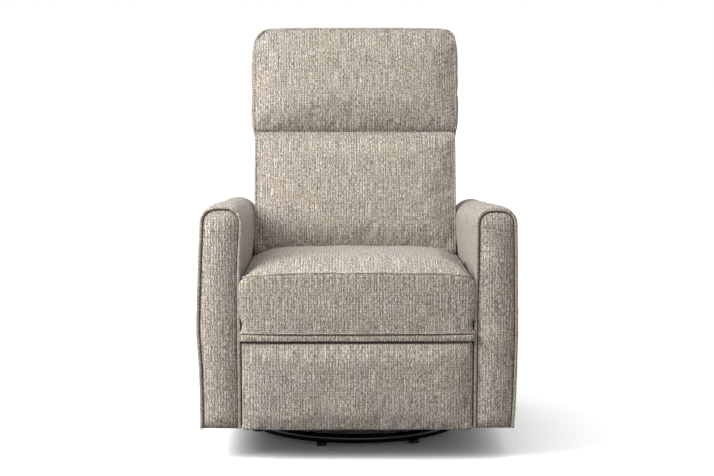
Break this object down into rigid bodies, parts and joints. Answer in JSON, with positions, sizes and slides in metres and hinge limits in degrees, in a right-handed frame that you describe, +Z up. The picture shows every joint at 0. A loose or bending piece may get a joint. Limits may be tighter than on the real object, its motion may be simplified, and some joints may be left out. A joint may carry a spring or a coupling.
{
  "type": "swivel glider recliner",
  "caption": "Upholstered swivel, gliding and reclining armchair with a fold-out footrest on a round tube base.",
  "frame": {"origin": "on the floor under the swivel axis, at the middle of the chair's outer box", "axes": "+Z up, -Y the way the sitter faces, +X to the right as seen from the front"},
  "size_m": [0.776, 0.9019, 1.0481],
  "materials": {
    "upholstery": "woven tweed in warm greige, piped seams",
    "plywood": "sanded hardwood plywood",
    "black_steel": "black powder coat, semi-gloss",
    "zinc_steel": "zinc-plated pressed steel",
    "spring_steel": "oil-tempered spring wire",
    "black_plastic": "moulded black polypropylene"
  },
  "bodies": {
    "base": {"base_cross_bar_front": "black_steel", "base_cross_bar_rear": "black_steel", "base_pad_1": "black_plastic", "base_pad_2": "black_plastic", "base_pad_3": "black_plastic", "base_pad_4": "black_plastic", "base_pad_5": "black_plastic", "base_pad_6": "black_plastic", "base_pad_7": "black_plastic", "base_ring": "black_steel", "swivel_bolt": "zinc_steel", "swivel_lower_plate": "zinc_steel"},
    "turntable": {"swivel_upper_plate": "zinc_steel", "turntable_cross_front": "black_steel", "turntable_cross_rear": "black_steel", "turntable_rail_left": "black_steel", "turntable_rail_right": "black_steel"},
    "front_links": {"glide_link_front_left": "zinc_steel", "glide_link_front_right": "zinc_steel"},
    "rear_links": {"glide_link_rear_left": "zinc_steel", "glide_link_rear_right": "zinc_steel"},
    "carriage": {"arm_cover_left": "upholstery", "arm_cover_right": "upholstery", "arm_facing_left": "upholstery", "arm_facing_right": "upholstery", "arm_frame_left": "plywood", "arm_frame_right": "plywood", "carriage_cross_front": "black_steel", "carriage_cross_rear": "black_steel", "glide_rail_left": "black_steel", "glide_rail_right": "black_steel", "mechanism_plate_left": "zinc_steel", "mechanism_plate_right": "zinc_steel", "rear_panel": "upholstery", "seat_cushion": "upholstery", "seat_rail_front": "plywood", "seat_rail_left": "plywood", "seat_rail_rear": "plywood", "seat_rail_right": "plywood", "seat_spring_1": "spring_steel", "seat_spring_2": "spring_steel", "seat_spring_3": "spring_steel", "seat_spring_4": "spring_steel"},
    "footrest_bars": {"footrest_torque_tube": "zinc_steel", "footrest_bar_left": "zinc_steel", "footrest_bar_right": "zinc_steel"},
    "footrest_middle_bars": {"footrest_middle_bar_left": "zinc_steel", "footrest_middle_bar_right": "zinc_steel"},
    "footrest_stays": {"footrest_stay_left": "zinc_steel", "footrest_stay_right": "zinc_steel"},
    "ottoman": {"ottoman_bracket_left": "zinc_steel", "ottoman_bracket_right": "zinc_steel", "footrest_board": "plywood", "footrest_pad": "upholstery"},
    "back": {"back_board": "plywood", "back_cover": "upholstery", "lumbar_pad": "upholstery", "head_pad": "upholstery"},
    "release": {"release_lever": "black_plastic"}
  },
  "joints": [
    {"name": "swivel", "type": "hinge", "parent": "base", "child": "turntable", "pos_m": [0, 0, 0.0466], "axis": [0, 0, 1], "continuous": true},
    {"name": "glide", "type": "hinge", "parent": "turntable", "child": "front_links", "pos_m": [0, -0.11, 0.1875], "axis": [1, 0, 0], "range_deg": [-20, 20]},
    {"name": "glide_rear_link", "type": "hinge", "parent": "turntable", "child": "rear_links", "pos_m": [0, 0.11, 0.1875], "axis": [1, 0, 0], "range_deg": [-20, 20]},
    {"name": "glide_carriage", "type": "hinge", "parent": "front_links", "child": "carriage", "pos_m": [0, -0.11, 0.0925], "axis": [1, 0, 0], "range_deg": [-20, 20]},
    {"name": "footrest", "type": "hinge", "parent": "carriage", "child": "footrest_bars", "pos_m": [0, -0.33, 0.235], "axis": [-1, 0, 0], "range_deg": [0, 92.58]},
    {"name": "footrest_elbow", "type": "hinge", "parent": "footrest_bars", "child": "footrest_middle_bars", "pos_m": [0, -0.33, 0.095], "axis": [1, 0, 0], "range_deg": [0, 122.72]},
    {"name": "footrest_stay", "type": "hinge", "parent": "carriage", "child": "footrest_stays", "pos_m": [0, -0.35661, 0.26812], "axis": [-1, 0, 0], "range_deg": [0, 92.68]},
    {"name": "ottoman_tilt", "type": "hinge", "parent": "footrest_middle_bars", "child": "ottoman", "pos_m": [0, -0.388, 0.225], "axis": [-1, 0, 0], "range_deg": [0, 118.14]},
    {"name": "recline", "type": "hinge", "parent": "carriage", "child": "back", "pos_m": [0, 0.15, 0.33], "axis": [-1, 0, 0], "range_deg": [0, 33]},
    {"name": "release", "type": "hinge", "parent": "carriage", "child": "release", "pos_m": [0.275, -0.19, 0.284], "axis": [1, 0, 0], "range_deg": [0, 20], "stiffness_Nm_per_rad": 1}
  ],
  "couplings": [
    {"joint": "glide_rear_link", "follows": "glide", "ratio": 1},
    {"joint": "glide_carriage", "follows": "glide", "ratio": -1},
    {"joint": "footrest_elbow", "follows": "footrest", "ratio": 1.3234},
    {"joint": "footrest_stay", "follows": "footrest", "ratio": 0.99892},
    {"joint": "ottoman_tilt", "follows": "footrest", "ratio": 1.2739}
  ]
}
